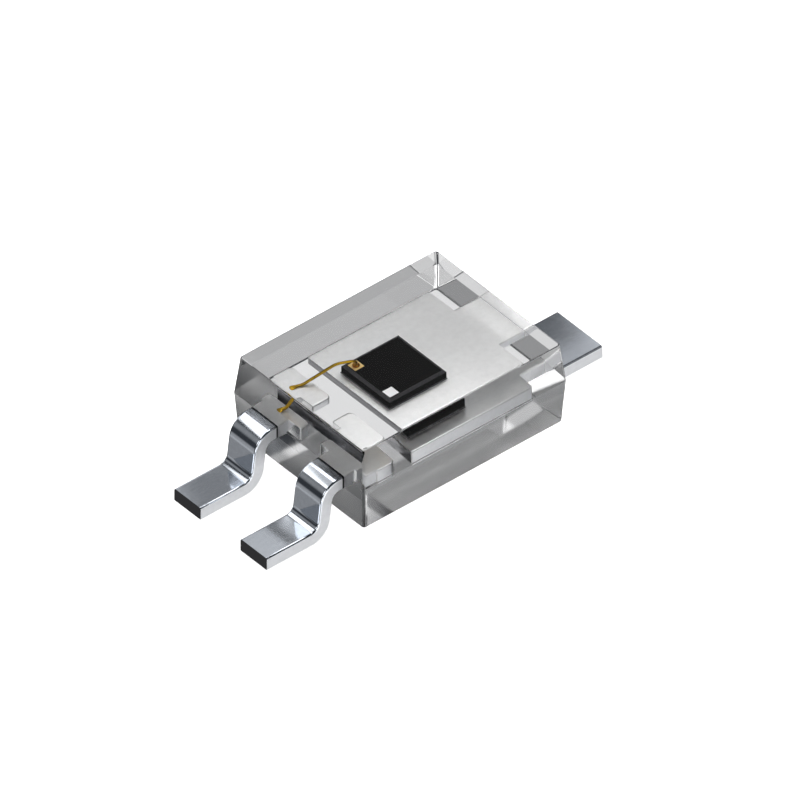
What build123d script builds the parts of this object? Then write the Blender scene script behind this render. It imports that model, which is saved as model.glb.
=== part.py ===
from build123d import *
import os
from math import radians, tan

# Surface mount phototransistor in a clear moulding: sizes in millimetres, angles in degrees.
# X runs from the two narrow leads to the wide lead, Y across them, and Z up from the solder feet.

# Clear moulding
body_length = 2.68  # along X, at the parting line
body_width = 2.03  # along Y, at the parting line
body_height = 1.00
standoff = 0.14  # air between the solder plane and the underside
upper_draft = 5.5
lower_draft = 3.5
corner_radius = 0.03  # upright corners
rim_bevel = 0.012  # round the top and bottom faces

# Sheet that the three leads are stamped from
sheet = 0.15
sheet_cover = 0.465  # clear resin above the sheet
rolled_edge = 0.02  # radius that the punch leaves along a lead's upper edges
stamped_corner = 0.02  # corners in the sheet's outline

# Bent leads
lead_width = 0.41
lead_pitch = 1.03
collector_width = 0.71
lead_straight = 0.06  # out of the moulding before the first bend
bend_radius = 0.10  # inside of both bends
leg_lean = 7.0  # from upright, towards the toe
foot_length = 0.586  # flat solder foot, from the last bend to the toe

# Chip pad and bonding posts, inside the moulding
post_cover = 0.295  # clear resin between the end wall and the posts' shoulders
post_length = 0.235  # along X
post_corner = 0.05  # the posts' corners that face the chip pad
emitter_post_width = 0.635
base_post_width = 0.565
pad_gap = 0.22  # between the posts and the chip pad
pad_end_cover = 0.34  # clear resin between the far end wall and the chip pad
pad_side_cover = 0.27  # clear resin beside the chip pad and the posts

# Chip and what joins it to the sheet
chip_size = 0.75
chip_thickness = 0.18
chip_bevel = 0.036
chip_setback = 0.103  # from the chip pad's edge at the posts
chip_offset = -0.037  # along Y, from the middle of the pad
adhesive_thickness = 0.015
adhesive_fillet = 0.010  # how far the adhesive creeps out round the chip
contact_size = 0.12
contact_thickness = 0.004
contact_margin = 0.045  # from the chip's edges

# Gold wire
wire_diameter = 0.038
ball_diameter = 0.080
ball_height = 0.022
ball_bevel = 0.007
ball_shoulder = 0.014  # in from the ball's side, where its top starts to narrow
cone_height = 0.008  # above the ball, where it narrows to the wire
neck_rise = 0.108  # upright stretch above the ball
crown_length = 0.213  # first stretch towards the post
crown_climb = 0.027  # how much that stretch still rises
landing_length = 0.14  # level with the post, up to the wire's end
landing_gap = 0.003  # under the wire, before it is pressed down
landing_offset = 0.033  # of the wire's end, from the emitter lead's middle towards the chip
stitch_length = 0.10  # of the landing, pressed flat
stitch_width = 0.07
stitch_thickness = 0.009
neck_radius = 0.07
crown_radius = 0.13
landing_radius = 0.10

# Levels and places that follow from the sizes
body_top = standoff + body_height
sheet_top = body_top - sheet_cover
sheet_middle = sheet_top - sheet / 2
end_wall = body_length / 2
pad_half_width = body_width / 2 - pad_side_cover
post_outer = -end_wall + post_cover
post_inner = post_outer + post_length
pad_near = post_inner + pad_gap
pad_far = end_wall - pad_end_cover
chip_bottom = sheet_top + adhesive_thickness
chip_top = chip_bottom + chip_thickness
chip_x = pad_near + chip_setback + chip_size / 2
chip_y = chip_offset
contact_reach = chip_size / 2 - contact_margin - contact_size / 2
emitter_contact = (chip_x - contact_reach, chip_y + contact_reach)
base_contact = (chip_x - contact_reach, chip_y - contact_reach)
wire_end = (post_outer, lead_pitch / 2 - landing_offset)


def block_outline():
    """The moulding's outside: two drafted halves that meet at the level of the sheet's top face."""
    upper_inset = (body_top - sheet_top) * tan(radians(upper_draft))
    lower_inset = (sheet_top - standoff) * tan(radians(lower_draft))
    levels = [
        (standoff, lower_inset + rim_bevel, corner_radius - rim_bevel),
        (standoff + rim_bevel, lower_inset, corner_radius),
        (sheet_top, 0, corner_radius),
        (body_top - rim_bevel, upper_inset, corner_radius),
        (body_top, upper_inset + rim_bevel, corner_radius - rim_bevel),
    ]
    sections = []
    for height, inset, radius in levels:
        outline = RectangleRounded(body_length - 2 * inset, body_width - 2 * inset, radius)
        sections.append((Plane.XY.offset(height) * outline).face())
    return loft(sections, ruled=True)


def bent_strip(width, root):
    """A strip of sheet on the -X side, from root inside the moulding, down through two bends to its toe."""
    bend = bend_radius + sheet / 2
    turn = 90 - leg_lean
    setback = bend * tan(radians(turn / 2))
    fall = sheet_middle - sheet / 2
    shoulder = -end_wall - lead_straight - setback
    heel = shoulder - fall * tan(radians(leg_lean))
    toe = heel - setback - foot_length
    route = FilletPolyline(
        (root, 0, sheet_middle),
        (shoulder, 0, sheet_middle),
        (heel, 0, sheet / 2),
        (toe, 0, sheet / 2),
        radius=bend,
    )
    section = Rectangle(width, sheet)
    section = fillet(section.vertices().group_by(Axis.Y)[-1], rolled_edge)
    start = Plane(origin=route @ 0, x_dir=(0, -1, 0), z_dir=route % 0)
    return sweep(start * section, path=route)


def flat_stamping(outline):
    """The part of a lead that stays flat inside the moulding."""
    return extrude(Plane.XY.offset(sheet_top) * outline, amount=-sheet)


def collector():
    """Chip pad, neck and wide lead in one piece."""
    length = pad_far - pad_near
    outline = Pos((pad_near + pad_far) / 2, 0) * Rectangle(length, 2 * pad_half_width)
    outline = fillet(outline.vertices(), stamped_corner)
    root = -(pad_near + pad_far) / 2
    strip = mirror(bent_strip(collector_width, root), about=Plane.YZ)
    return flat_stamping(outline) + strip


def post_lead(post_width, side):
    """Bonding post and narrow lead in one piece: side is +1 for the emitter and -1 for the base."""
    middle = (post_outer + post_inner) / 2
    outline = Pos(middle, side * (pad_half_width - post_width / 2)) * Rectangle(post_length, post_width)
    facing_pad = outline.vertices().group_by(Axis.X)[-1]
    outline = fillet(facing_pad, post_corner)
    shoulders = outline.vertices().group_by(Axis.X)[0]
    outline = fillet(shoulders, stamped_corner)
    strip = Pos(0, side * lead_pitch / 2, 0) * bent_strip(lead_width, middle)
    return flat_stamping(outline) + strip


def adhesive():
    """Thin layer under the chip, whose edge slopes out to where it wets the pad."""
    foot = chip_size + 2 * adhesive_fillet
    footprint = Plane.XY.offset(sheet_top) * Pos(chip_x, chip_y) * Rectangle(foot, foot)
    top = Plane.XY.offset(chip_bottom) * Pos(chip_x, chip_y) * Rectangle(chip_size, chip_size)
    return loft([footprint.face(), top.face()])


def silicon():
    """Square chip, its upper rim bevelled by the saw."""
    square = Plane.XY.offset(chip_bottom) * Pos(chip_x, chip_y) * Rectangle(chip_size, chip_size)
    die = extrude(square, amount=chip_thickness)
    return chamfer(die.faces().sort_by(Axis.Z)[-1].edges(), chip_bevel)


def contact(place):
    """Square film of metal on the chip's top face."""
    film = Plane.XY.offset(chip_top) * Pos(*place) * Rectangle(contact_size, contact_size)
    return extrude(film, amount=contact_thickness)


def wire():
    """Gold wire: pressed ball, neck, loop and flattened end, drawn in its own upright plane."""
    run = Vector(wire_end[0] - emitter_contact[0], wire_end[1] - emitter_contact[1], 0)
    base = Vector(*emitter_contact, chip_top + contact_thickness)
    upright = Plane(origin=base, x_dir=run.normalized(), z_dir=run.normalized().cross(Vector(0, 0, 1)))
    radius = wire_diameter / 2

    # The ball is pressed into a squat bead, and the bonding tool leaves a cone round the neck
    girth = ball_diameter / 2
    bead = Polyline(
        (0, 0),
        (girth - ball_bevel, 0),
        (girth, ball_bevel),
        (girth, ball_height - ball_bevel),
        (girth - ball_shoulder, ball_height),
        (radius, ball_height + cone_height),
        (0, ball_height + cone_height),
        close=True,
    )
    ball = revolve(upright * make_face(bead), axis=Axis(base, (0, 0, 1)))

    # The loop comes down in three bends
    crown = ball_height + neck_rise
    post_level = sheet_top - base.Z
    rest_level = post_level + landing_gap + radius
    end = run.length
    landing = end - landing_length
    press = end - stitch_length
    route = upright * FilletPolyline(
        (0, ball_height / 2),
        (0, crown),
        (crown_length, crown + crown_climb),
        (landing, rest_level),
        (press, rest_level),
        radius=[neck_radius, crown_radius, landing_radius],
    )
    round_wire = sweep(Plane(origin=route @ 0, z_dir=route % 0) * Circle(radius), path=route)

    # Its end is pressed into a flat tongue, whose underside lies on the post
    round_end = Plane(origin=route @ 1, x_dir=upright.z_dir, z_dir=route % 1) * Circle(radius)
    flat_middle = upright.from_local_coords(Vector(end, post_level, 0))
    flat_end = Plane(origin=flat_middle, x_dir=upright.z_dir, z_dir=route % 1)
    flat_end = flat_end * Ellipse(stitch_width / 2, stitch_thickness)
    tongue = loft([round_end.face(), flat_end.face()])
    above_post = Pos(0, 0, sheet_top) * Box(
        body_length, body_width, body_height, align=(Align.CENTER, Align.CENTER, Align.MIN)
    )
    return ball + round_wire + (tongue & above_post)


def build():
    """Every piece by its name. The resin goes last, because it fills what the others leave."""
    pieces = {
        "collector_lead": collector(),
        "emitter_lead": post_lead(emitter_post_width, 1),
        "base_lead": post_lead(base_post_width, -1),
        "die_attach": adhesive(),
        "chip": silicon(),
        "emitter_pad": contact(emitter_contact),
        "base_pad": contact(base_contact),
        "bond_wire": wire(),
    }
    resin = block_outline()
    for piece in pieces.values():
        resin = resin - piece
    pieces["clear_body"] = resin
    return pieces


os.makedirs("parts", exist_ok=True)
for name, piece in build().items():
    export_step(piece, f"parts/{name}.step")
    extent = piece.bounding_box()
    print(name, "from", tuple(round(v, 3) for v in extent.min), "to", tuple(round(v, 3) for v in extent.max))
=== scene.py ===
# %% [markdown]
# # A phototransistor in a clear moulding
# This lesson dresses a tiny surface mount light sensor. A stamped frame of plated sheet carries a black
# chip, a gold wire joins the chip to a bonding post, and clear resin is moulded round them all. The packed
# solids come first and fix every size and place. Blender then adds finer bends, rolled edges, the finishes
# and the light.

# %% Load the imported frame
import math

import bmesh
import bpy
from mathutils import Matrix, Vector


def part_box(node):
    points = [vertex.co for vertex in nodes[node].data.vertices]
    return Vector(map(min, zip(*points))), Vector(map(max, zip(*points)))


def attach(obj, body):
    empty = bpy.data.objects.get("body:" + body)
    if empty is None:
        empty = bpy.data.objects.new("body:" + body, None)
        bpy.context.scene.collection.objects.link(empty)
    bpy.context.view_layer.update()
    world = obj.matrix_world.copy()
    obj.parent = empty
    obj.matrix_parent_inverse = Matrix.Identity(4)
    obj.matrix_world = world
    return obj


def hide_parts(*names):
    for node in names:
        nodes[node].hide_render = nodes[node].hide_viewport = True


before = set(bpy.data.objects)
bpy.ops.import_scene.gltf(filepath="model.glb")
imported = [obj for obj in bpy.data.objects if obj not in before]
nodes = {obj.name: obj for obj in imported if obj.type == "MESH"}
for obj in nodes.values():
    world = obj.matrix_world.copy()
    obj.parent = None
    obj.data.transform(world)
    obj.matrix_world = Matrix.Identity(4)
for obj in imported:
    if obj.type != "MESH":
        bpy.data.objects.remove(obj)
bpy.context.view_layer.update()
print("The frame holds", ", ".join(sorted(nodes)))

# %% [markdown]
# ## Sizes
# Everything here is so small that the millimetre is the handiest unit, so sizes are written in millimetres
# and multiplied by MM. Places could be typed in too, but the boxes of the frame's nodes already know them.
# Only what a box can't tell, such as the thickness of the sheet or the radius of a bend, is written out.

# %% Sizes that the boxes give
MM = 0.001
body_low, body_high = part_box("clear_body")
sheet_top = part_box("collector_lead")[1].z
toe_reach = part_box("collector_lead")[1].x
pad_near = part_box("collector_lead")[0].x
pad_half_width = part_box("collector_lead")[1].y
print("The moulding ends", round(body_high.z / MM, 3), "mm up, and the sheet", round(sheet_top / MM, 3), "mm")

# %% Sizes that the boxes can't tell
SHEET = 0.15 * MM
BEND_RADIUS = 0.175 * MM  # at the middle of the sheet
LEG_LEAN = math.radians(7)
STRAIGHT = 0.06 * MM  # of lead between the moulding and its first bend
LEAD_WIDTH = 0.41 * MM
COLLECTOR_WIDTH = 0.71 * MM
LEAD_OFFSET = 0.515 * MM  # from the middle plane to the middle of a narrow lead
POST_LENGTH = 0.235 * MM
PAD_END = 1.0 * MM
POST_CORNER = 0.05 * MM
STAMPED_CORNER = 0.02 * MM
WIRE_RADIUS = 0.019 * MM
WIRE_END = Vector((-1.045 * MM, 0.482 * MM, sheet_top))

# %% [markdown]
# ## Camera
# The photograph was taken from far away with a long lens, so edges that are parallel on the object stay
# parallel in the picture. A perspective camera could stand far off too, but an orthographic one does the
# same with fewer numbers. Its turn and its height were found from the moulding's edges, and its width from
# the length between the toes.

# %% Camera
CAMERA_TURN = math.radians(-40.18)
CAMERA_HEIGHT = math.radians(40)
CAMERA_DISTANCE = 40 * MM
VIEW_WIDTH = 8.033 * MM
NEAREST = 0.5 * MM
FARTHEST = 1000 * MM
AIM = Vector((0, 0, 0.493 * MM))

towards_camera = Vector((
    math.sin(CAMERA_TURN) * math.cos(CAMERA_HEIGHT),
    -math.cos(CAMERA_TURN) * math.cos(CAMERA_HEIGHT),
    math.sin(CAMERA_HEIGHT),
))
camera_data = bpy.data.cameras.new("camera")
camera_data.type = "ORTHO"
camera_data.ortho_scale = VIEW_WIDTH
camera_data.clip_start = NEAREST
camera_data.clip_end = FARTHEST
camera = bpy.data.objects.new("camera", camera_data)
camera.location = AIM + towards_camera * CAMERA_DISTANCE
camera.rotation_euler = (math.pi / 2 - CAMERA_HEIGHT, 0, CAMERA_TURN)
bpy.context.scene.collection.objects.link(camera)
bpy.context.scene.camera = camera
print("The camera looks down at", round(math.degrees(CAMERA_HEIGHT)), "degrees")


# %% [markdown]
# ## Helpers for trees of nodes
# A material and a Geometry Nodes tool are both trees of nodes. Trees can be drawn by hand, but in a script
# each node is one line: the helper adds it, sets the sockets that are named, and links those that are given
# another node's output. The recipes further down then read as short lists.

# %% Nodes by name
def add_node(tree, kind, settings=None, **sockets):
    """Adds a node. A socket's value is a plain value, or the output of another node, which is linked.

    Sockets that share a name go by number: _1 is the second one.
    """
    node = tree.nodes.new(kind)
    for name, value in (settings or {}).items():
        setattr(node, name, value)
    for name, value in sockets.items():
        key = int(name[1:]) if name[0] == "_" else name.replace("_", " ")
        socket = node.inputs[key]
        if isinstance(value, bpy.types.NodeSocket):
            tree.links.new(value, socket)
        else:
            socket.default_value = value
    return node


def grey(level):
    return (level, level, level, 1)


# %% Short words for numbers
def calculate(tree, operation, first, second=0.0):
    return add_node(tree, "ShaderNodeMath", {"operation": operation}, _0=first, _1=second).outputs[0]


def both(tree, first, second):
    """The product of two masks, which is 1 only where both are."""
    return calculate(tree, "MULTIPLY", first, second)


def remap(tree, value, low, high, to_low=0.0, to_high=1.0):
    """Turns low..high into to_low..to_high, and holds still outside."""
    ends = {"From_Min": low, "From_Max": high, "To_Min": to_low, "To_Max": to_high}
    return add_node(tree, "ShaderNodeMapRange", Value=value, **ends).outputs[0]


def fade(tree, factor, first, second):
    """First number at factor 0, second at 1."""
    return remap(tree, factor, 0.0, 1.0, first, second)


def spread(tree, noise, low, high):
    """Noise seldom strays from its middle, so the middle is stretched to fill low..high."""
    return remap(tree, noise, 0.3, 0.7, low, high)


# %% Short words for colours and vectors
def blend(tree, factor, first, second):
    """First colour at factor 0, second at 1."""
    node = add_node(tree, "ShaderNodeMix", {"data_type": "RGBA"}, Factor=factor, _6=first, _7=second)
    return node.outputs[2]


def vector_math(tree, operation, first, second):
    node = add_node(tree, "ShaderNodeVectorMath", {"operation": operation}, _0=first, _1=second)
    return node.outputs["Value" if operation == "DOT_PRODUCT" else "Vector"]


def scaled(tree, vector, amount):
    node = add_node(tree, "ShaderNodeVectorMath", {"operation": "SCALE"}, _0=vector, Scale=amount)
    return node.outputs[0]


def split(tree, vector):
    return add_node(tree, "ShaderNodeSeparateXYZ", _0=vector).outputs


def grain(tree, place, size, stretch=(1, 1, 1), detail=3.0):
    """Noise whose blobs measure about size, and this many times as much along each axis."""
    squeezed = vector_math(tree, "DIVIDE", place, [size * times for times in stretch])
    return add_node(tree, "ShaderNodeTexNoise", Vector=squeezed, Scale=1.0, Detail=detail).outputs[0]


def bump(tree, height, depth):
    return add_node(tree, "ShaderNodeBump", Height=height, Distance=depth, Strength=1.0).outputs[0]


# %% What a material can ask about a point
def own_place(tree):
    """Where the point lies, in the frame of its own piece."""
    return tree.nodes.new("ShaderNodeTexCoord").outputs["Object"]


def blank_place(tree):
    """Where the point lay on the straight stock, as the bending tool has noted it."""
    return add_node(tree, "ShaderNodeAttribute", {"attribute_name": "blank"}).outputs["Vector"]


def facing(tree):
    """Which way the surface looks, as three numbers."""
    return split(tree, add_node(tree, "ShaderNodeNewGeometry").outputs["Normal"])


# %% An empty material
def new_material(name):
    """The tree of a new material, and a function that ends it with its shader."""
    material = bpy.data.materials.new(name)
    material.use_nodes = True
    tree = material.node_tree
    tree.nodes.clear()

    def finish(**sockets):
        shader = add_node(tree, "ShaderNodeBsdfPrincipled", **sockets)
        add_node(tree, "ShaderNodeOutputMaterial", Surface=shader.outputs[0])
        return material

    return tree, finish


# %% [markdown]
# ## Clear resin
# The moulding is water clear epoxy. It could be drawn as plain glass, but two things make it look moulded:
# its tone is never quite alike all over, and its underside is faintly matt, so what shows through it is a
# little blurred. The height above the board picks out that underside, and noise makes both effects uneven.
# The index of refraction sets how deep the sheet seems to lie and where it shows in the side faces. The
# specular tint is low, because the photograph shows hardly any reflection on the top face.

# %% Clear resin
RESIN_IOR = 1.46
DIM_MIRROR = grey(0.04)
UNDERSIDE = body_low.z + 0.002 * MM
MATT_DEPTH = 0.0005 * MM  # over which the matt finish sets in
MATT_ROUGHNESS = (0.09, 0.11)
ETCHING = 0.06 * MM
MOULD_WAVE = 0.45 * MM
LEAST_CLEAR = 0.985


def clear_resin():
    tree, finish = new_material("clear_resin")
    place = own_place(tree)
    under = remap(tree, split(tree, place)[2], UNDERSIDE, UNDERSIDE - MATT_DEPTH)
    matt = spread(tree, grain(tree, place, ETCHING), *MATT_ROUGHNESS)
    waves = grain(tree, place, MOULD_WAVE, detail=1.0)
    return finish(
        Base_Color=blend(tree, waves, grey(LEAST_CLEAR), grey(1)),
        Roughness=both(tree, under, matt),
        IOR=RESIN_IOR,
        Transmission_Weight=1.0,
        Specular_Tint=DIM_MIRROR,
    )


RESIN = clear_resin()
print("The resin is ready, with a matt face below", round(UNDERSIDE / MM, 3), "mm")

# %% [markdown]
# ## Plated sheet
# The leads are one stamping of copper alloy. Inside the resin it has a dull silver plating for the chip and
# the wire, and outside it has been dipped in tin, which is darker and far smoother. Two materials could be
# joined at the wall, but one material that reads how far it is from the middle changes over exactly there.
# The punch leaves the long edges pale. The toes are cut last and left unplated, and their near-black colour
# is painted shade. The chip pad's edge towards the posts is painted dark grey as shade, and a thin band of
# painted shadow lies on the tin right beside the moulding.

# %% Plated sheet
SILVER = (0.95, 0.95, 0.945, 1)
TIN = (0.72, 0.76, 0.82, 1)
SHEARED = (0.93, 0.94, 0.96, 1)
# painted shade for the chip pad's wall towards the posts
PAINTED_WALL_SHADE = (0.16, 0.16, 0.17, 1)
# near-black painted shade, for the cut toe ends and beside the moulding
PAINTED_BLACK_SHADE = (0.003, 0.003, 0.005, 1)
LEAST_CLEAN = 0.94
SILVER_ROUGHNESS = 0.38
TIN_ROUGHNESS = 0.11
SHEARED_ROUGHNESS = 0.55
STAMPED_ROUGHNESS = 0.14
SCRATCH_ROUGHNESS = 0.03  # more and less than the rest
SCRATCH_WIDTH = 0.012 * MM
SCRATCH_DEPTH = 0.00008 * MM
MOTTLE = 0.05 * MM
ROLLED = (14, 1, 1)  # the rolling mill draws every blemish out along the strip

WALL = body_high.x
CHANGE = 0.005 * MM
# width of the painted shadow on the tin beside the moulding
EXIT_SHADOW_WIDTH = 0.03 * MM
TOE_END = toe_reach - 0.003 * MM
CUT_STEP = 0.001 * MM
POST_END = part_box("base_lead")[1].x
NEARLY_SQUARE = 0.93  # how squarely a wall has to face an axis before it starts to count as one
SQUARE = 0.99


def plated_sheet():
    tree, finish = new_material("plated_sheet")
    place = own_place(tree)
    facing_x, facing_y, _ = facing(tree)
    reach = calculate(tree, "ABSOLUTE", split(tree, place)[0])
    sideways = remap(tree, calculate(tree, "ABSOLUTE", facing_y), NEARLY_SQUARE, SQUARE)
    endways = remap(tree, facing_x, -NEARLY_SQUARE, -SQUARE)
    outside = remap(tree, reach, WALL - CHANGE, WALL + CHANGE)
    inside = calculate(tree, "SUBTRACT", 1.0, outside)
    # painted shade: the cut toe ends are made near black
    toe_end_shade = remap(tree, reach, TOE_END, TOE_END + CUT_STEP)
    on_pad = remap(tree, split(tree, place)[0], POST_END, pad_near)
    # painted shadow: a thin dark band on the tin just outside the moulding
    exit_shadow = both(tree, outside, remap(tree, reach, WALL + EXIT_SHADOW_WIDTH, WALL + EXIT_SHADOW_WIDTH / 2))

    colour = blend(tree, outside, SILVER, TIN)
    colour = blend(tree, sideways, colour, SHEARED)
    # painted shade on the toe ends
    colour = blend(tree, toe_end_shade, colour, PAINTED_BLACK_SHADE)
    # painted shade on the chip pad's wall towards the posts
    colour = blend(tree, both(tree, on_pad, endways), colour, PAINTED_WALL_SHADE)
    # painted shadow beside the moulding
    colour = blend(tree, exit_shadow, colour, PAINTED_BLACK_SHADE)
    colour = scaled(tree, colour, spread(tree, grain(tree, place, MOTTLE), LEAST_CLEAN, 1.0))

    scratches = grain(tree, blank_place(tree), SCRATCH_WIDTH, ROLLED)
    rough = fade(tree, outside, SILVER_ROUGHNESS, TIN_ROUGHNESS)
    rough = fade(tree, both(tree, sideways, outside), rough, SHEARED_ROUGHNESS)
    rough = fade(tree, both(tree, endways, inside), rough, STAMPED_ROUGHNESS)
    rough = calculate(tree, "ADD", rough, spread(tree, scratches, -SCRATCH_ROUGHNESS, SCRATCH_ROUGHNESS))
    return finish(
        Base_Color=colour,
        Metallic=1.0,
        Roughness=rough,
        Normal=bump(tree, scratches, SCRATCH_DEPTH),
    )


SHEET_METAL = plated_sheet()
print("The sheet changes from silver to tin", round(WALL / MM, 2), "mm from the middle")

# %% [markdown]
# ## Gold
# The bond wire is drawn through a die, so fine lines run along it. The ball at its start is melted and
# pressed, and is coloured darker than the wire. Every point of the wire still knows where it lay on the
# straight wire, so the material can follow its length round the loop. The contact under the ball is a thin,
# paler film of gold.

# %% Gold wire
GOLD_DRAWN = (0.50, 0.30, 0.014, 1)
GOLD_BALL = (0.28, 0.10, 0.004, 1)
GOLD_WIRE_ROUGHNESS = (0.22, 0.36)
DIE_LINE = 0.002 * MM
DIE_LINE_DEPTH = 0.00005 * MM
DRAWN = (30, 1, 1)
BALL_TOP = 0.022 * MM
BALL_TO_WIRE = 0.008 * MM


def drawn_gold():
    tree, finish = new_material("drawn_gold")
    blank = blank_place(tree)
    lines = grain(tree, blank, DIE_LINE, DRAWN)
    pressed = remap(tree, split(tree, blank)[0], BALL_TOP + BALL_TO_WIRE, BALL_TOP)
    return finish(
        Base_Color=blend(tree, pressed, GOLD_DRAWN, GOLD_BALL),
        Metallic=1.0,
        Roughness=spread(tree, lines, *GOLD_WIRE_ROUGHNESS),
        Normal=bump(tree, lines, DIE_LINE_DEPTH),
    )


# %% Gold film
GOLD_SHADE = (0.80, 0.56, 0.22, 1)
GOLD_PALE = (0.88, 0.66, 0.30, 1)
GOLD_FILM_ROUGHNESS = (0.42, 0.55)
GOLD_GRAIN = 0.006 * MM


def gold_film():
    tree, finish = new_material("gold_film")
    grains = grain(tree, own_place(tree), GOLD_GRAIN)
    return finish(
        Base_Color=blend(tree, grains, GOLD_SHADE, GOLD_PALE),
        Metallic=1.0,
        Roughness=spread(tree, grains, *GOLD_FILM_ROUGHNESS),
    )


GOLD_WIRE = drawn_gold()
GOLD_FILM = gold_film()
print("Gold is ready for the wire and for its contact")

# %% [markdown]
# ## Chip, contact and adhesive
# The chip is silicon under a dark coating that lets in little but infrared, so its face looks black and
# smooth. The saw has bevelled its rim and left it grey and rough, and a bevel is easy to tell from the rest
# by the way it faces: half up and half out. The bare contact is a bright sputtered film. The adhesive is
# epoxy full of silver flakes.

# %% Silicon
COATED = (0.0015, 0.0015, 0.0018, 1)
SAWN = (0.085, 0.085, 0.09, 1)
LEAST_SAWN = 0.6
COATED_ROUGHNESS = 0.22
SAWN_ROUGHNESS = (0.5, 0.65)
SAW_MARK = 0.008 * MM
SAW_STRETCH = (1, 1, 0.4)
HALF_UP = math.cos(math.pi / 4)
NEAR_HALF = 0.05  # as far as this from half up is all bevel
FAR_FROM_HALF = 0.15  # and beyond this is none


def silicon():
    tree, finish = new_material("silicon")
    from_half = calculate(tree, "ABSOLUTE", calculate(tree, "SUBTRACT", facing(tree)[2], HALF_UP))
    bevel = remap(tree, from_half, FAR_FROM_HALF, NEAR_HALF)
    marks = grain(tree, own_place(tree), SAW_MARK, SAW_STRETCH)
    sawn = both(tree, bevel, spread(tree, marks, LEAST_SAWN, 1.0))
    return finish(
        Base_Color=blend(tree, sawn, COATED, SAWN),
        Roughness=fade(tree, bevel, COATED_ROUGHNESS, spread(tree, marks, *SAWN_ROUGHNESS)),
        Specular_IOR_Level=0.0,
    )


# %% Aluminium film
ALUMINIUM_SHADE = 0.93
ALUMINIUM_ROUGHNESS = (0.34, 0.42)
ALUMINIUM_GRAIN = 0.005 * MM
ALUMINIUM_RELIEF = 0.0001 * MM


def aluminium_film():
    tree, finish = new_material("aluminium_film")
    grains = grain(tree, own_place(tree), ALUMINIUM_GRAIN)
    return finish(
        Base_Color=blend(tree, grains, grey(ALUMINIUM_SHADE), grey(1.0)),
        Metallic=1.0,
        Roughness=spread(tree, grains, *ALUMINIUM_ROUGHNESS),
        Normal=bump(tree, grains, ALUMINIUM_RELIEF),
    )


# %% Conductive adhesive
EPOXY = grey(0.03)
FLAKE = grey(0.20)
FLAKE_SIZE = 0.006 * MM
FLAKE_STRETCH = (1, 1, 0.5)
FLAKE_RELIEF = 0.0006 * MM
FLAKE_TONES = (0.35, 0.65)  # the noise between these goes from epoxy to flake
FLAKE_SHEEN = (0.55, 0.70)  # and between these from dull to metal


def adhesive():
    tree, finish = new_material("conductive_adhesive")
    flakes = grain(tree, own_place(tree), FLAKE_SIZE, FLAKE_STRETCH)
    return finish(
        Base_Color=blend(tree, remap(tree, flakes, *FLAKE_TONES), EPOXY, FLAKE),
        Metallic=remap(tree, flakes, *FLAKE_SHEEN),
        Roughness=spread(tree, flakes, 0.7, 0.4),
        Normal=bump(tree, flakes, FLAKE_RELIEF),
    )


SILICON = silicon()
ALUMINIUM = aluminium_film()
ADHESIVE = adhesive()
print("The chip's finishes are ready")

# %% [markdown]
# ## Skins over rings
# The moulding, the flat blanks of the leads and the straight wire are all closed rings of points that follow
# one another. Box modelling could make them too, but rings give the same number of points at every station,
# so the skin between them is all four-sided faces, and a face at each end closes it.

# %% Skin
def skin(name, rings, material):
    """A closed mesh over rings that hold as many points each, with its faces turned outwards."""
    mesh = bpy.data.meshes.new(name)
    shell = bmesh.new()
    loops = [[shell.verts.new(point) for point in ring] for ring in rings]
    for lower, upper in zip(loops, loops[1:]):
        for here in range(len(lower)):
            after = (here + 1) % len(lower)
            shell.faces.new((lower[here], lower[after], upper[after], upper[here]))
    shell.faces.new(loops[0])
    shell.faces.new(loops[-1])
    bmesh.ops.recalc_face_normals(shell, faces=shell.faces)
    shell.to_mesh(mesh)
    shell.free()
    mesh.materials.append(material)
    piece = bpy.data.objects.new(name, mesh)
    bpy.context.scene.collection.objects.link(piece)
    return piece


def quarter_turns(steps, start=0.0):
    """Angles from start on, through a quarter turn."""
    return [start + math.pi / 2 * step / steps for step in range(steps + 1)]


# %% [markdown]
# ## Moulding
# Transfer moulding fills a tool in two halves, so the block has draft on its walls above and below the
# parting line, small radii on its upright corners, and a finer one round its top and bottom faces. A cube
# with a Bevel modifier can't taper both ways. Rounded rectangles, one for each level, give draft and radii
# straight away.

# %% Moulding
CORNER_RADIUS = 0.03 * MM
RIM_RADIUS = 0.014 * MM
UPPER_DRAFT = math.radians(5.5)
LOWER_DRAFT = math.radians(3.5)
CORNER_STEPS = 8
RIM_STEPS = 5


def rounded_ring(half_length, half_width, level):
    ring = []
    for quarter, (side_x, side_y) in enumerate(((1, 1), (-1, 1), (-1, -1), (1, -1))):
        middle_x = side_x * (half_length - CORNER_RADIUS)
        middle_y = side_y * (half_width - CORNER_RADIUS)
        for turn in quarter_turns(CORNER_STEPS, quarter * math.pi / 2):
            x = middle_x + CORNER_RADIUS * math.cos(turn)
            y = middle_y + CORNER_RADIUS * math.sin(turn)
            ring.append((x, y, level))
    return ring


def rim(wall_inset):
    """Steps round the edge from a level face to the wall: depth from the face, and inset from the side."""
    steps = []
    for turn in quarter_turns(RIM_STEPS):
        depth = RIM_RADIUS * (1 - math.cos(turn))
        inset = wall_inset + RIM_RADIUS * (1 - math.sin(turn))
        steps.append((depth, inset))
    return steps


def moulding():
    lower_inset = (sheet_top - body_low.z) * math.tan(LOWER_DRAFT)
    upper_inset = (body_high.z - sheet_top) * math.tan(UPPER_DRAFT)
    levels = [(body_low.z + depth, inset) for depth, inset in rim(lower_inset)]
    levels.append((sheet_top, 0.0))
    levels += [(body_high.z - depth, inset) for depth, inset in reversed(rim(upper_inset))]
    rings = [rounded_ring(body_high.x - inset, body_high.y - inset, level) for level, inset in levels]
    return skin("clear_moulding", rings, RESIN)


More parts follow.
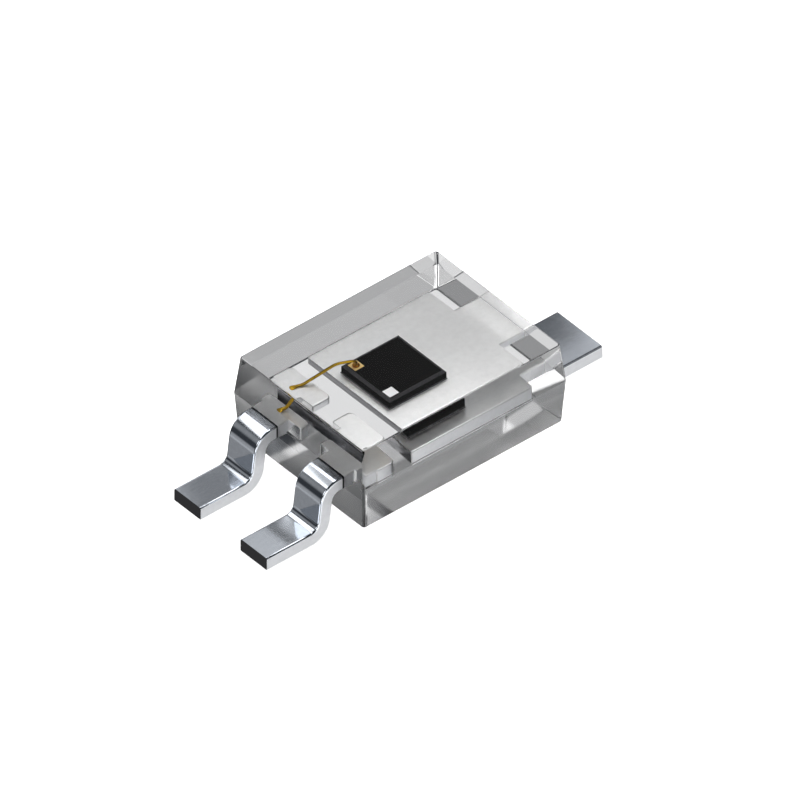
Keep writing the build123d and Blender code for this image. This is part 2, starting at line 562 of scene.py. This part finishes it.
body = moulding()
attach(body, "root")
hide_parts("clear_body")
print("The moulding has", len(body.data.polygons), "faces")

# %% [markdown]
# ## Routes
# The leads and the wire are both straight stock that is laid along a route: straight runs joined by round
# bends. To know where on the straight stock each bend will fall, the route is measured first. A bend of a
# given radius uses up the same stretch of both its runs, and its own length is its radius times its turn.

# %% Measure a route
def measure(corners, radii):
    """How far along a route its bends start and end, and its whole length last."""
    marks = []
    travelled = 0.0
    used = 0.0
    for radius, first, corner, last in zip(radii, corners, corners[1:], corners[2:]):
        turn = (corner - first).angle(last - corner)
        setback = radius * math.tan(turn / 2)
        travelled += (corner - first).length - used - setback
        marks.append(travelled)
        travelled += radius * turn
        marks.append(travelled)
        used = setback
    travelled += (corners[-1] - corners[-2]).length - used
    return marks + [travelled]


def stations(marks, steps, guard):
    """Places for cross-sections: close together in the bends, and a guard's width before and after each."""
    places = []
    for first, last in zip(marks[0:-1:2], marks[1::2]):
        places += [first - guard, last + guard]
        places += [first + (last - first) * step / steps for step in range(steps + 1)]
    return sorted(places)


# %% [markdown]
# ## A tool that lays stock along a route
# In the factory a press bends the leads and a bonding machine lays the wire. Here one Geometry Nodes tree
# does both. It strings up the corners, rounds them with Fillet Curve, and moves each point of the straight
# stock to where the route is at the point's own distance along it. An array of bent pieces would have to be
# welded, while this keeps the stock whole. The tree also notes where each point was before, so the
# materials can follow the stock.

# %% Bending tool
MOST_CORNERS = 5
ARC_STEPS = 48


def bending_tree():
    tree = bpy.data.node_groups.new("lay_along_route", "GeometryNodeTree")
    face = tree.interface
    face.new_socket("Geometry", in_out="INPUT", socket_type="NodeSocketGeometry")
    face.new_socket("Corners", in_out="INPUT", socket_type="NodeSocketInt")
    face.new_socket("Across", in_out="INPUT", socket_type="NodeSocketVector")
    face.new_socket("Finish", in_out="INPUT", socket_type="NodeSocketMaterial")
    for number in range(MOST_CORNERS):
        face.new_socket(f"Corner {number}", in_out="INPUT", socket_type="NodeSocketVector")
        face.new_socket(f"Radius {number}", in_out="INPUT", socket_type="NodeSocketFloat")
    face.new_socket("Geometry", in_out="OUTPUT", socket_type="NodeSocketGeometry")
    given = tree.nodes.new("NodeGroupInput").outputs

    def pick(data_type, name):
        """The input of this name that belongs to the point's number."""
        switch = add_node(tree, "GeometryNodeIndexSwitch", {"data_type": data_type})
        while len(switch.index_switch_items) < MOST_CORNERS:
            switch.index_switch_items.new()
        tree.links.new(add_node(tree, "GeometryNodeInputIndex").outputs[0], switch.inputs["Index"])
        for number in range(MOST_CORNERS):
            tree.links.new(given[f"{name} {number}"], switch.inputs[number + 1])
        return switch.outputs[0]

    string = add_node(tree, "GeometryNodeMeshLine", Count=given["Corners"])
    corner = pick("VECTOR", "Corner")
    strung = add_node(tree, "GeometryNodeSetPosition", _0=string.outputs[0], Position=corner)
    sharp = add_node(tree, "GeometryNodeMeshToCurve", _0=strung.outputs[0])
    route = add_node(
        tree,
        "GeometryNodeFilletCurve",
        {"mode": "POLY"},
        Curve=sharp.outputs[0],
        Count=ARC_STEPS,
        Radius=pick("FLOAT", "Radius"),
    )

    place = add_node(tree, "GeometryNodeInputPosition").outputs[0]
    noted = add_node(
        tree,
        "GeometryNodeStoreNamedAttribute",
        {"data_type": "FLOAT_VECTOR"},
        Geometry=given["Geometry"],
        Name="blank",
        Value=place,
    )
    along, aside, above = split(tree, place)
    there = add_node(
        tree,
        "GeometryNodeSampleCurve",
        {"mode": "LENGTH"},
        Curves=route.outputs[0],
        Length=along,
    )
    up = vector_math(tree, "CROSS_PRODUCT", given["Across"], there.outputs["Tangent"])
    shift = vector_math(tree, "ADD", scaled(tree, given["Across"], aside), scaled(tree, up, above))
    moved = vector_math(tree, "ADD", there.outputs["Position"], shift)
    laid = add_node(tree, "GeometryNodeSetPosition", _0=noted.outputs[0], Position=moved)
    real = add_node(tree, "GeometryNodeRealizeInstances", _0=laid.outputs[0])
    dressed = add_node(tree, "GeometryNodeSetMaterial", _0=real.outputs[0], Material=given["Finish"])
    add_node(tree, "NodeGroupOutput", _0=dressed.outputs[0])
    return tree


BENDING = bending_tree()
print("The bending tool has", len(BENDING.nodes), "nodes")

# %% Lay a blank along a route
SMOOTH_UNDER = math.radians(35)


def lay(blank, corners, radii, across, finish):
    """Runs the tree on a blank, and leaves the result as the piece's plain mesh."""
    values = {"Corners": len(corners), "Across": across, "Finish": finish}
    for number, corner in enumerate(corners):
        values[f"Corner {number}"] = corner
    for number, radius in enumerate(radii):
        values[f"Radius {number + 1}"] = radius
    modifier = blank.modifiers.new("bending", "NODES")
    modifier.node_group = BENDING
    for socket in BENDING.interface.items_tree:
        if socket.in_out == "INPUT" and socket.name in values:
            modifier[socket.identifier] = values[socket.name]
    bpy.context.view_layer.update()
    seen = blank.evaluated_get(bpy.context.evaluated_depsgraph_get())
    mesh = bpy.data.meshes.new_from_object(seen)
    blank.modifiers.remove(modifier)
    blank.data = mesh
    mesh.shade_smooth()
    mesh.set_sharp_from_angle(angle=SMOOTH_UNDER)
    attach(blank, "root")
    return blank


# %% [markdown]
# ## Blanks for the leads
# A lead is stamped flat first. The punch rolls the upper edges over and leaves the lower ones nearly sharp,
# so a cross-section is a rectangle with two radii. Along the blank the sections widen into the post or the
# chip pad, and their ends follow a quarter circle, which rounds the corners of the stamping.

# %% Cross-sections of a blank
ROLLED_EDGE = 0.02 * MM
BURR_EDGE = 0.006 * MM
GUARD = 0.005 * MM  # keeps a flat face flat beside a rounded edge
EDGE_STEPS = 5
CORNER_STATIONS = 6
BEND_STATIONS = 28


def strip_ring(along, low, high):
    """A section of the sheet between low and high, as a ring of points round it."""
    half = SHEET / 2
    edges = (
        (high, half, ROLLED_EDGE, (0, -GUARD), (-GUARD, 0)),
        (low, half, ROLLED_EDGE, (GUARD, 0), (0, -GUARD)),
        (low, -half, BURR_EDGE, (0, GUARD), (GUARD, 0)),
        (high, -half, BURR_EDGE, (-GUARD, 0), (0, GUARD)),
    )
    ring = []
    for quarter, (edge_y, edge_z, radius, ahead, behind) in enumerate(edges):
        middle_y = edge_y - math.copysign(radius, edge_y - (low + high) / 2)
        middle_z = edge_z - math.copysign(radius, edge_z)
        points = []
        for turn in quarter_turns(EDGE_STEPS, quarter * math.pi / 2):
            points.append((middle_y + radius * math.cos(turn), middle_z + radius * math.sin(turn)))
        points.insert(0, (points[0][0] + ahead[0], points[0][1] + ahead[1]))
        points.append((points[-1][0] + behind[0], points[-1][1] + behind[1]))
        ring += [(along, y, z) for y, z in points]
    return ring


def plate(length, low, high, first_corner, last_corner):
    """Sections of a plate with rounded corners at both its ends."""
    sections = []
    for turn in quarter_turns(CORNER_STATIONS):
        inset = first_corner * (1 - math.sin(turn))
        sections.append((first_corner * (1 - math.cos(turn)), low + inset, high - inset))
    for turn in quarter_turns(CORNER_STATIONS):
        inset = last_corner * (1 - math.cos(turn))
        sections.append((length - last_corner * (1 - math.sin(turn)), low + inset, high - inset))
    return sections


print("A cross-section of the sheet has", len(strip_ring(0, -LEAD_WIDTH / 2, LEAD_WIDTH / 2)), "points")

# %% [markdown]
# ## Bent leads
# All three leads are bent alike: straight out of the moulding, down in a gull wing shape, and flat along the
# board. The route's corners follow from the lean of the leg and from where the toe has to end. The two
# narrow leads start at their posts. The wide one starts at the chip pad and runs the other way, so its
# route is mirrored.

# %% Route of a lead
NECK_GAP = 0.004 * MM  # between the plate's last section and the neck's first


def lead_route(start_x, way):
    """Four corners, from the flat part inside the moulding to the toe. Way is -1 or 1 along X."""
    level = sheet_top - SHEET / 2
    fall = sheet_top - SHEET
    setback = BEND_RADIUS * math.tan((math.pi / 2 - LEG_LEAN) / 2)
    shoulder = body_high.x + STRAIGHT + setback
    heel = shoulder + fall * math.tan(LEG_LEAN)
    return [
        Vector((start_x, 0, level)),
        Vector((way * shoulder, 0, level)),
        Vector((way * heel, 0, SHEET / 2)),
        Vector((way * toe_reach, 0, SHEET / 2)),
    ]


def bent_lead(name, start_x, way, plate_sections, middle, width):
    corners = lead_route(start_x, way)
    radii = [BEND_RADIUS, BEND_RADIUS]
    marks = measure(corners, radii)
    places = [plate_sections[-1][0] + NECK_GAP] + stations(marks, BEND_STATIONS, GUARD) + [marks[-1]]
    sections = plate_sections + [(place, middle - width / 2, middle + width / 2) for place in places]
    blank = skin("bent_" + name, [strip_ring(*section) for section in sections], SHEET_METAL)
    lead = lay(blank, corners, radii, (0, -way, 0), SHEET_METAL)
    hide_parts(name)
    print(lead.name, "has", len(lead.data.polygons), "faces and is", round(marks[-1] / MM, 2), "mm long flat")
    return lead


# %% Narrow leads
for name, side in (("emitter_lead", 1), ("base_lead", -1)):
    low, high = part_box(name)
    post = plate(POST_LENGTH, low.y, high.y, POST_CORNER, STAMPED_CORNER)
    bent_lead(name, high.x, -1, post, side * LEAD_OFFSET, LEAD_WIDTH)

# %% Wide lead
pad = plate(PAD_END - pad_near, -pad_half_width, pad_half_width, STAMPED_CORNER, STAMPED_CORNER)
bent_lead("collector_lead", pad_near, 1, pad, 0.0, COLLECTOR_WIDTH)

# %% [markdown]
# ## Bond wire
# The bonding machine melts the end of the wire into a ball and presses it on the chip. It lifts, lays a loop
# over to the post, and presses the wire flat there, which also cuts it. A tube along a curve would need a
# separate ball and stitch. As straight stock whose section swells and flattens, the whole wire is one
# closed skin, and the same bending tool lays it.

# %% Sections of the wire
BALL_RADIUS = 0.040 * MM
BALL_FOOT = 0.007 * MM
BALL_CROWN = 0.010 * MM
STITCH_LENGTH = 0.10 * MM
STITCH_HALF_WIDTH = 0.035 * MM
STITCH_THICKNESS = 0.009 * MM
STITCH_STEPS = 12
LANDING_GAP = 0.003 * MM
TIP = 0.02 * MM
TIP_SHARE = 0.12  # of the stitch's section, left where the wire was torn off
ROUND_STEPS = 6
THREAD_POINTS = 24


def thread_ring(along, half_width, half_height, middle):
    """A section of the wire, as a ring of points."""
    turns = [math.tau * point / THREAD_POINTS for point in range(THREAD_POINTS)]
    return [(along, half_width * math.cos(turn), middle + half_height * math.sin(turn)) for turn in turns]


def ball_sections():
    """From the contact up: the ball's foot, its crown, and the cone that narrows to the wire."""
    sections = []
    for turn in quarter_turns(ROUND_STEPS):
        height = BALL_FOOT * (1 - math.cos(turn))
        sections.append((height, BALL_RADIUS - BALL_FOOT * (1 - math.sin(turn))))
    for turn in quarter_turns(ROUND_STEPS):
        height = BALL_TOP - BALL_CROWN * (1 - math.sin(turn))
        sections.append((height, BALL_RADIUS - BALL_CROWN * (1 - math.cos(turn))))
    shoulder = BALL_RADIUS - BALL_CROWN
    for step in range(1, ROUND_STEPS + 1):
        share = step / ROUND_STEPS
        height = BALL_TOP + BALL_TO_WIRE * share
        sections.append((height, WIRE_RADIUS + (shoulder - WIRE_RADIUS) * (1 - share) ** 2))
    return [(height, radius, radius, 0.0) for height, radius in sections]


def stitch_sections(end):
    """The wire's last stretch, which flattens until its underside lies on the post."""
    sections = []
    lowest = -(WIRE_RADIUS + LANDING_GAP)
    for step in range(1, STITCH_STEPS + 1):
        share = step / STITCH_STEPS
        pressed = share * share * (3 - 2 * share)
        along = end - STITCH_LENGTH + (STITCH_LENGTH - TIP) * share
        half_width = WIRE_RADIUS + (STITCH_HALF_WIDTH - WIRE_RADIUS) * pressed
        half_height = WIRE_RADIUS + (STITCH_THICKNESS / 2 - WIRE_RADIUS) * pressed
        middle = (lowest + STITCH_THICKNESS / 2) * pressed
        sections.append((along, half_width, half_height, middle))
    for turn in quarter_turns(ROUND_STEPS)[1:]:
        share = max(math.cos(turn), TIP_SHARE)
        thin = half_height * share
        sections.append((along + TIP * math.sin(turn), half_width * share, thin, lowest + thin))
    return sections


# %% Loop of the wire
NECK_RISE = 0.130 * MM  # from the contact up to where the upright neck would meet the crown
CROWN_LENGTH = 0.213 * MM
CROWN_CLIMB = 0.027 * MM
LANDING = 0.14 * MM
LOOP_RADII = [0.07 * MM, 0.13 * MM, 0.10 * MM]

contact_low, contact_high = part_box("emitter_pad")
ball_place = (contact_low + contact_high) / 2
ball_place.z = contact_high.z
run = WIRE_END - ball_place
run.z = 0
run_length = run.length
run_way = run.normalized()
rest = sheet_top + LANDING_GAP + WIRE_RADIUS - ball_place.z


def in_loop(distance, height):
    """A point of the upright plane that the loop lies in."""
    return ball_place + run_way * distance + Vector((0, 0, height))


loop = [
    in_loop(0, 0),
    in_loop(0, NECK_RISE),
    in_loop(CROWN_LENGTH, NECK_RISE + CROWN_CLIMB),
    in_loop(run_length - LANDING, rest),
    in_loop(run_length, rest),
]
marks = measure(loop, LOOP_RADII)
print("The wire is", round(marks[-1] / MM, 3), "mm long, and its neck rises", round(NECK_RISE / MM, 3), "mm")

# %% Lay the wire
LOOP_STATIONS = 18
LOOP_GUARD = 0.002 * MM

sections = ball_sections()
for place in stations(marks, LOOP_STATIONS, LOOP_GUARD) + [marks[-1] - STITCH_LENGTH]:
    sections.append((place, WIRE_RADIUS, WIRE_RADIUS, 0.0))
sections += stitch_sections(marks[-1])
sections.sort()
thread = skin("looped_wire", [thread_ring(*section) for section in sections], GOLD_WIRE)
wire = lay(thread, loop, LOOP_RADII, run_way.cross(Vector((0, 0, 1))), GOLD_WIRE)
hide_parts("bond_wire")
print("The wire has", len(wire.data.polygons), "faces")

# %% [markdown]
# ## Chip, contacts and adhesive
# These solids already have their right shape in the frame, down to the saw's bevel and the adhesive's
# sloping edge. They could be built again, but a CAD node whose shape is right only needs a better finish in
# its own slots.

# %% Finishes on the frame's own nodes
for name, finish in (
    ("chip", SILICON),
    ("die_attach", ADHESIVE),
    ("emitter_pad", GOLD_FILM),
    ("base_pad", ALUMINIUM),
):
    nodes[name].data.materials.clear()
    nodes[name].data.materials.append(finish)
    print(name, "takes the finish", finish.name)

# %% [markdown]
# ## Floor
# The photograph stands on plain white with no shadow. A white plane under the part would light it from
# below and take its shadow. This pale dome with a level floor shows to the camera alone, so the light stays
# the world's own.

# %% Pale cove
COVE_RADIUS = 100 * MM
COVE_LEVELS = 24
COVE_POINTS = 48
COVE_PAINT = grey(0.9)
COVE_GLOW = 0.95
HIDDEN_FROM = ("glossy", "transmission", "volume_scatter", "shadow", "diffuse")


def cove():
    rings = []
    for step in range(COVE_LEVELS):
        turn = math.pi / 2 * step / COVE_LEVELS
        around = [math.tau * point / COVE_POINTS for point in range(COVE_POINTS)]
        radius = COVE_RADIUS * math.cos(turn)
        level = COVE_RADIUS * math.sin(turn)
        rings.append([(radius * math.cos(angle), radius * math.sin(angle), level) for angle in around])
    _, finish = new_material("pale_cove")
    paint = finish(
        Base_Color=COVE_PAINT,
        Roughness=1.0,
        Emission_Color=grey(1.0),
        Emission_Strength=COVE_GLOW,
    )
    piece = skin("cove", rings, paint)
    piece.data.shade_smooth()
    for ray in HIDDEN_FROM:
        setattr(piece, "visible_" + ray, False)
    return piece


print("The cove has", len(cove().data.polygons), "faces")

# %% [markdown]
# ## Studio light
# Clear resin and bright metal show nothing but their surroundings, so the light is designed as what they
# reflect and bend. A picture of a studio could be wrapped round the world, but soft round panels on a plain
# grey are enough: each panel has a direction, a size and a brightness, and is added to the grey. Soft boxes
# hang close over the part as well, because only near lights can make the brightness of a flat face fade
# from one side to the other. Many lights were first tried one at a time, and those that bring the picture
# closest to the photograph were kept.

# %% World
UNLIT = (0.0368, 0.04, 0.0456)  # a little blue, like the unlit walls of a white room
PANELS = (
    # azimuth, elevation, half width, softness, brightness
    (-74.4, -18.0, 10.5, 5, 2.11),
    (50.7, -32.8, 10.5, 5, 0.73),
    (165.2, 29.5, 10.5, 5, 2.5),
    (-46.7, -52.3, 10.5, 5, 0.4),
    (132.8, 24.1, 10.5, 5, 0.24),
    (-122.2, 18.0, 10.5, 5, 2.28),
    (-34.3, -35.1, 10.5, 5, 0.94),
    (-54.3, -26.2, 10.5, 5, 0.43),
    (-124, -5, 24, 10, 0.65),
    (52.5, 70.3, 10.5, 5, 2.5),
    (-86.8, -31.7, 10.5, 5, 1.1),
    (-151.7, -43.8, 10.5, 5, 0.56),
    (-111.6, -73.4, 10.5, 5, 0.82),
    (123.3, -46.5, 10.5, 5, 0.70),
    (135.7, -30.6, 10.5, 5, 0.24),
    (100.3, 19.0, 10.5, 5, 1.42),
    (60.2, 36.3, 10.5, 5, 0.13),
    (-147.0, -7.2, 10.5, 5, 2.01),
    (148.1, -17.0, 10.5, 5, 0.32),
    (-171.8, -33.9, 10.5, 5, 1.97),
    (-96, -19, 24, 10, 0.87),
)


def direction(azimuth, elevation):
    around = math.radians(azimuth)
    up = math.radians(elevation)
    return (math.cos(around) * math.cos(up), math.sin(around) * math.cos(up), math.sin(up))


def light_the_world():
    world = bpy.data.worlds.new("studio")
    bpy.context.scene.world = world
    world.use_nodes = True
    tree = world.node_tree
    tree.nodes.clear()
    towards = tree.nodes.new("ShaderNodeTexCoord").outputs["Generated"]
    glow = 0.0
    for azimuth, elevation, half, soft, brightness in PANELS:
        inside = add_node(
            tree,
            "ShaderNodeMapRange",
            {"interpolation_type": "SMOOTHSTEP"},
            Value=vector_math(tree, "DOT_PRODUCT", towards, direction(azimuth, elevation)),
            From_Min=math.cos(math.radians(half + soft)),
            From_Max=math.cos(math.radians(half - soft)),
        )
        panel = calculate(tree, "MULTIPLY", inside.outputs[0], brightness)
        glow = calculate(tree, "ADD", glow, panel)
    colour = vector_math(tree, "ADD", UNLIT, glow)
    light = add_node(tree, "ShaderNodeBackground", Color=colour, Strength=1.0)
    add_node(tree, "ShaderNodeOutputWorld", Surface=light.outputs[0])


light_the_world()
print("The world has", len(PANELS), "panels")

# %% Soft boxes
BOX_LEVEL = 4 * MM
BOX_POWER = 4  # watts for each square metre of lamp and each unit of brightness
BOXES = (
    # lowest and highest X, lowest and highest Y, in millimetres, and brightness
    (-4.4, -0.6, 2.1, 3.4, 1.35),
    (0, 1.8, -0.5, 0.9, 3.55),
    (0, 3.6, 0.3, 3.4, 0.36),
    (5.4, 9, 2.6, 3.9, 0.68),
    (4.4, 7, 2.1, 3.4, 0.31),
    (0.6, 2.6, -0.5, 0.9, 1.38),
    (-2.2, 0.6, 3.9, 5, 0.4),
    (-1.2, 0.6, 0.9, 2.1, 2.12),
    (-4.4, -2.2, 5, 7, 0.53),
    (-3.2, -0.6, 0.9, 2.1, 0.43),
    (0.6, 2.6, 5, 7, 1.27),
    (1.2, 4.4, 3.9, 7, 0.13),
    (0, 1.8, -1.5, 0.3, 2.1),
    (4.4, 7, -5, -3, 0.6),
    (0, 2.6, 3.4, 5, 0.07),
    (-4.4, -2.2, 0.9, 2.1, 1.01),
)


def soft_box(number, low_x, high_x, low_y, high_y, brightness):
    """A light that hangs level over the part and looks this bright in a mirror."""
    data = bpy.data.lights.new(f"soft_box_{number}", "AREA")
    data.shape = "RECTANGLE"
    data.size = (high_x - low_x) * MM
    data.size_y = (high_y - low_y) * MM
    data.energy = BOX_POWER * brightness * data.size * data.size_y
    light = bpy.data.objects.new(data.name, data)
    light.location = ((low_x + high_x) / 2 * MM, (low_y + high_y) / 2 * MM, BOX_LEVEL)
    light.visible_camera = False
    bpy.context.scene.collection.objects.link(light)


for number, box in enumerate(BOXES):
    soft_box(number, *box)
print(len(BOXES), "soft boxes hang", round(BOX_LEVEL / MM), "mm over the board")

# %% Plain tones
bpy.context.scene.view_settings.view_transform = "Standard"
print("A brightness of 1 comes out as white")
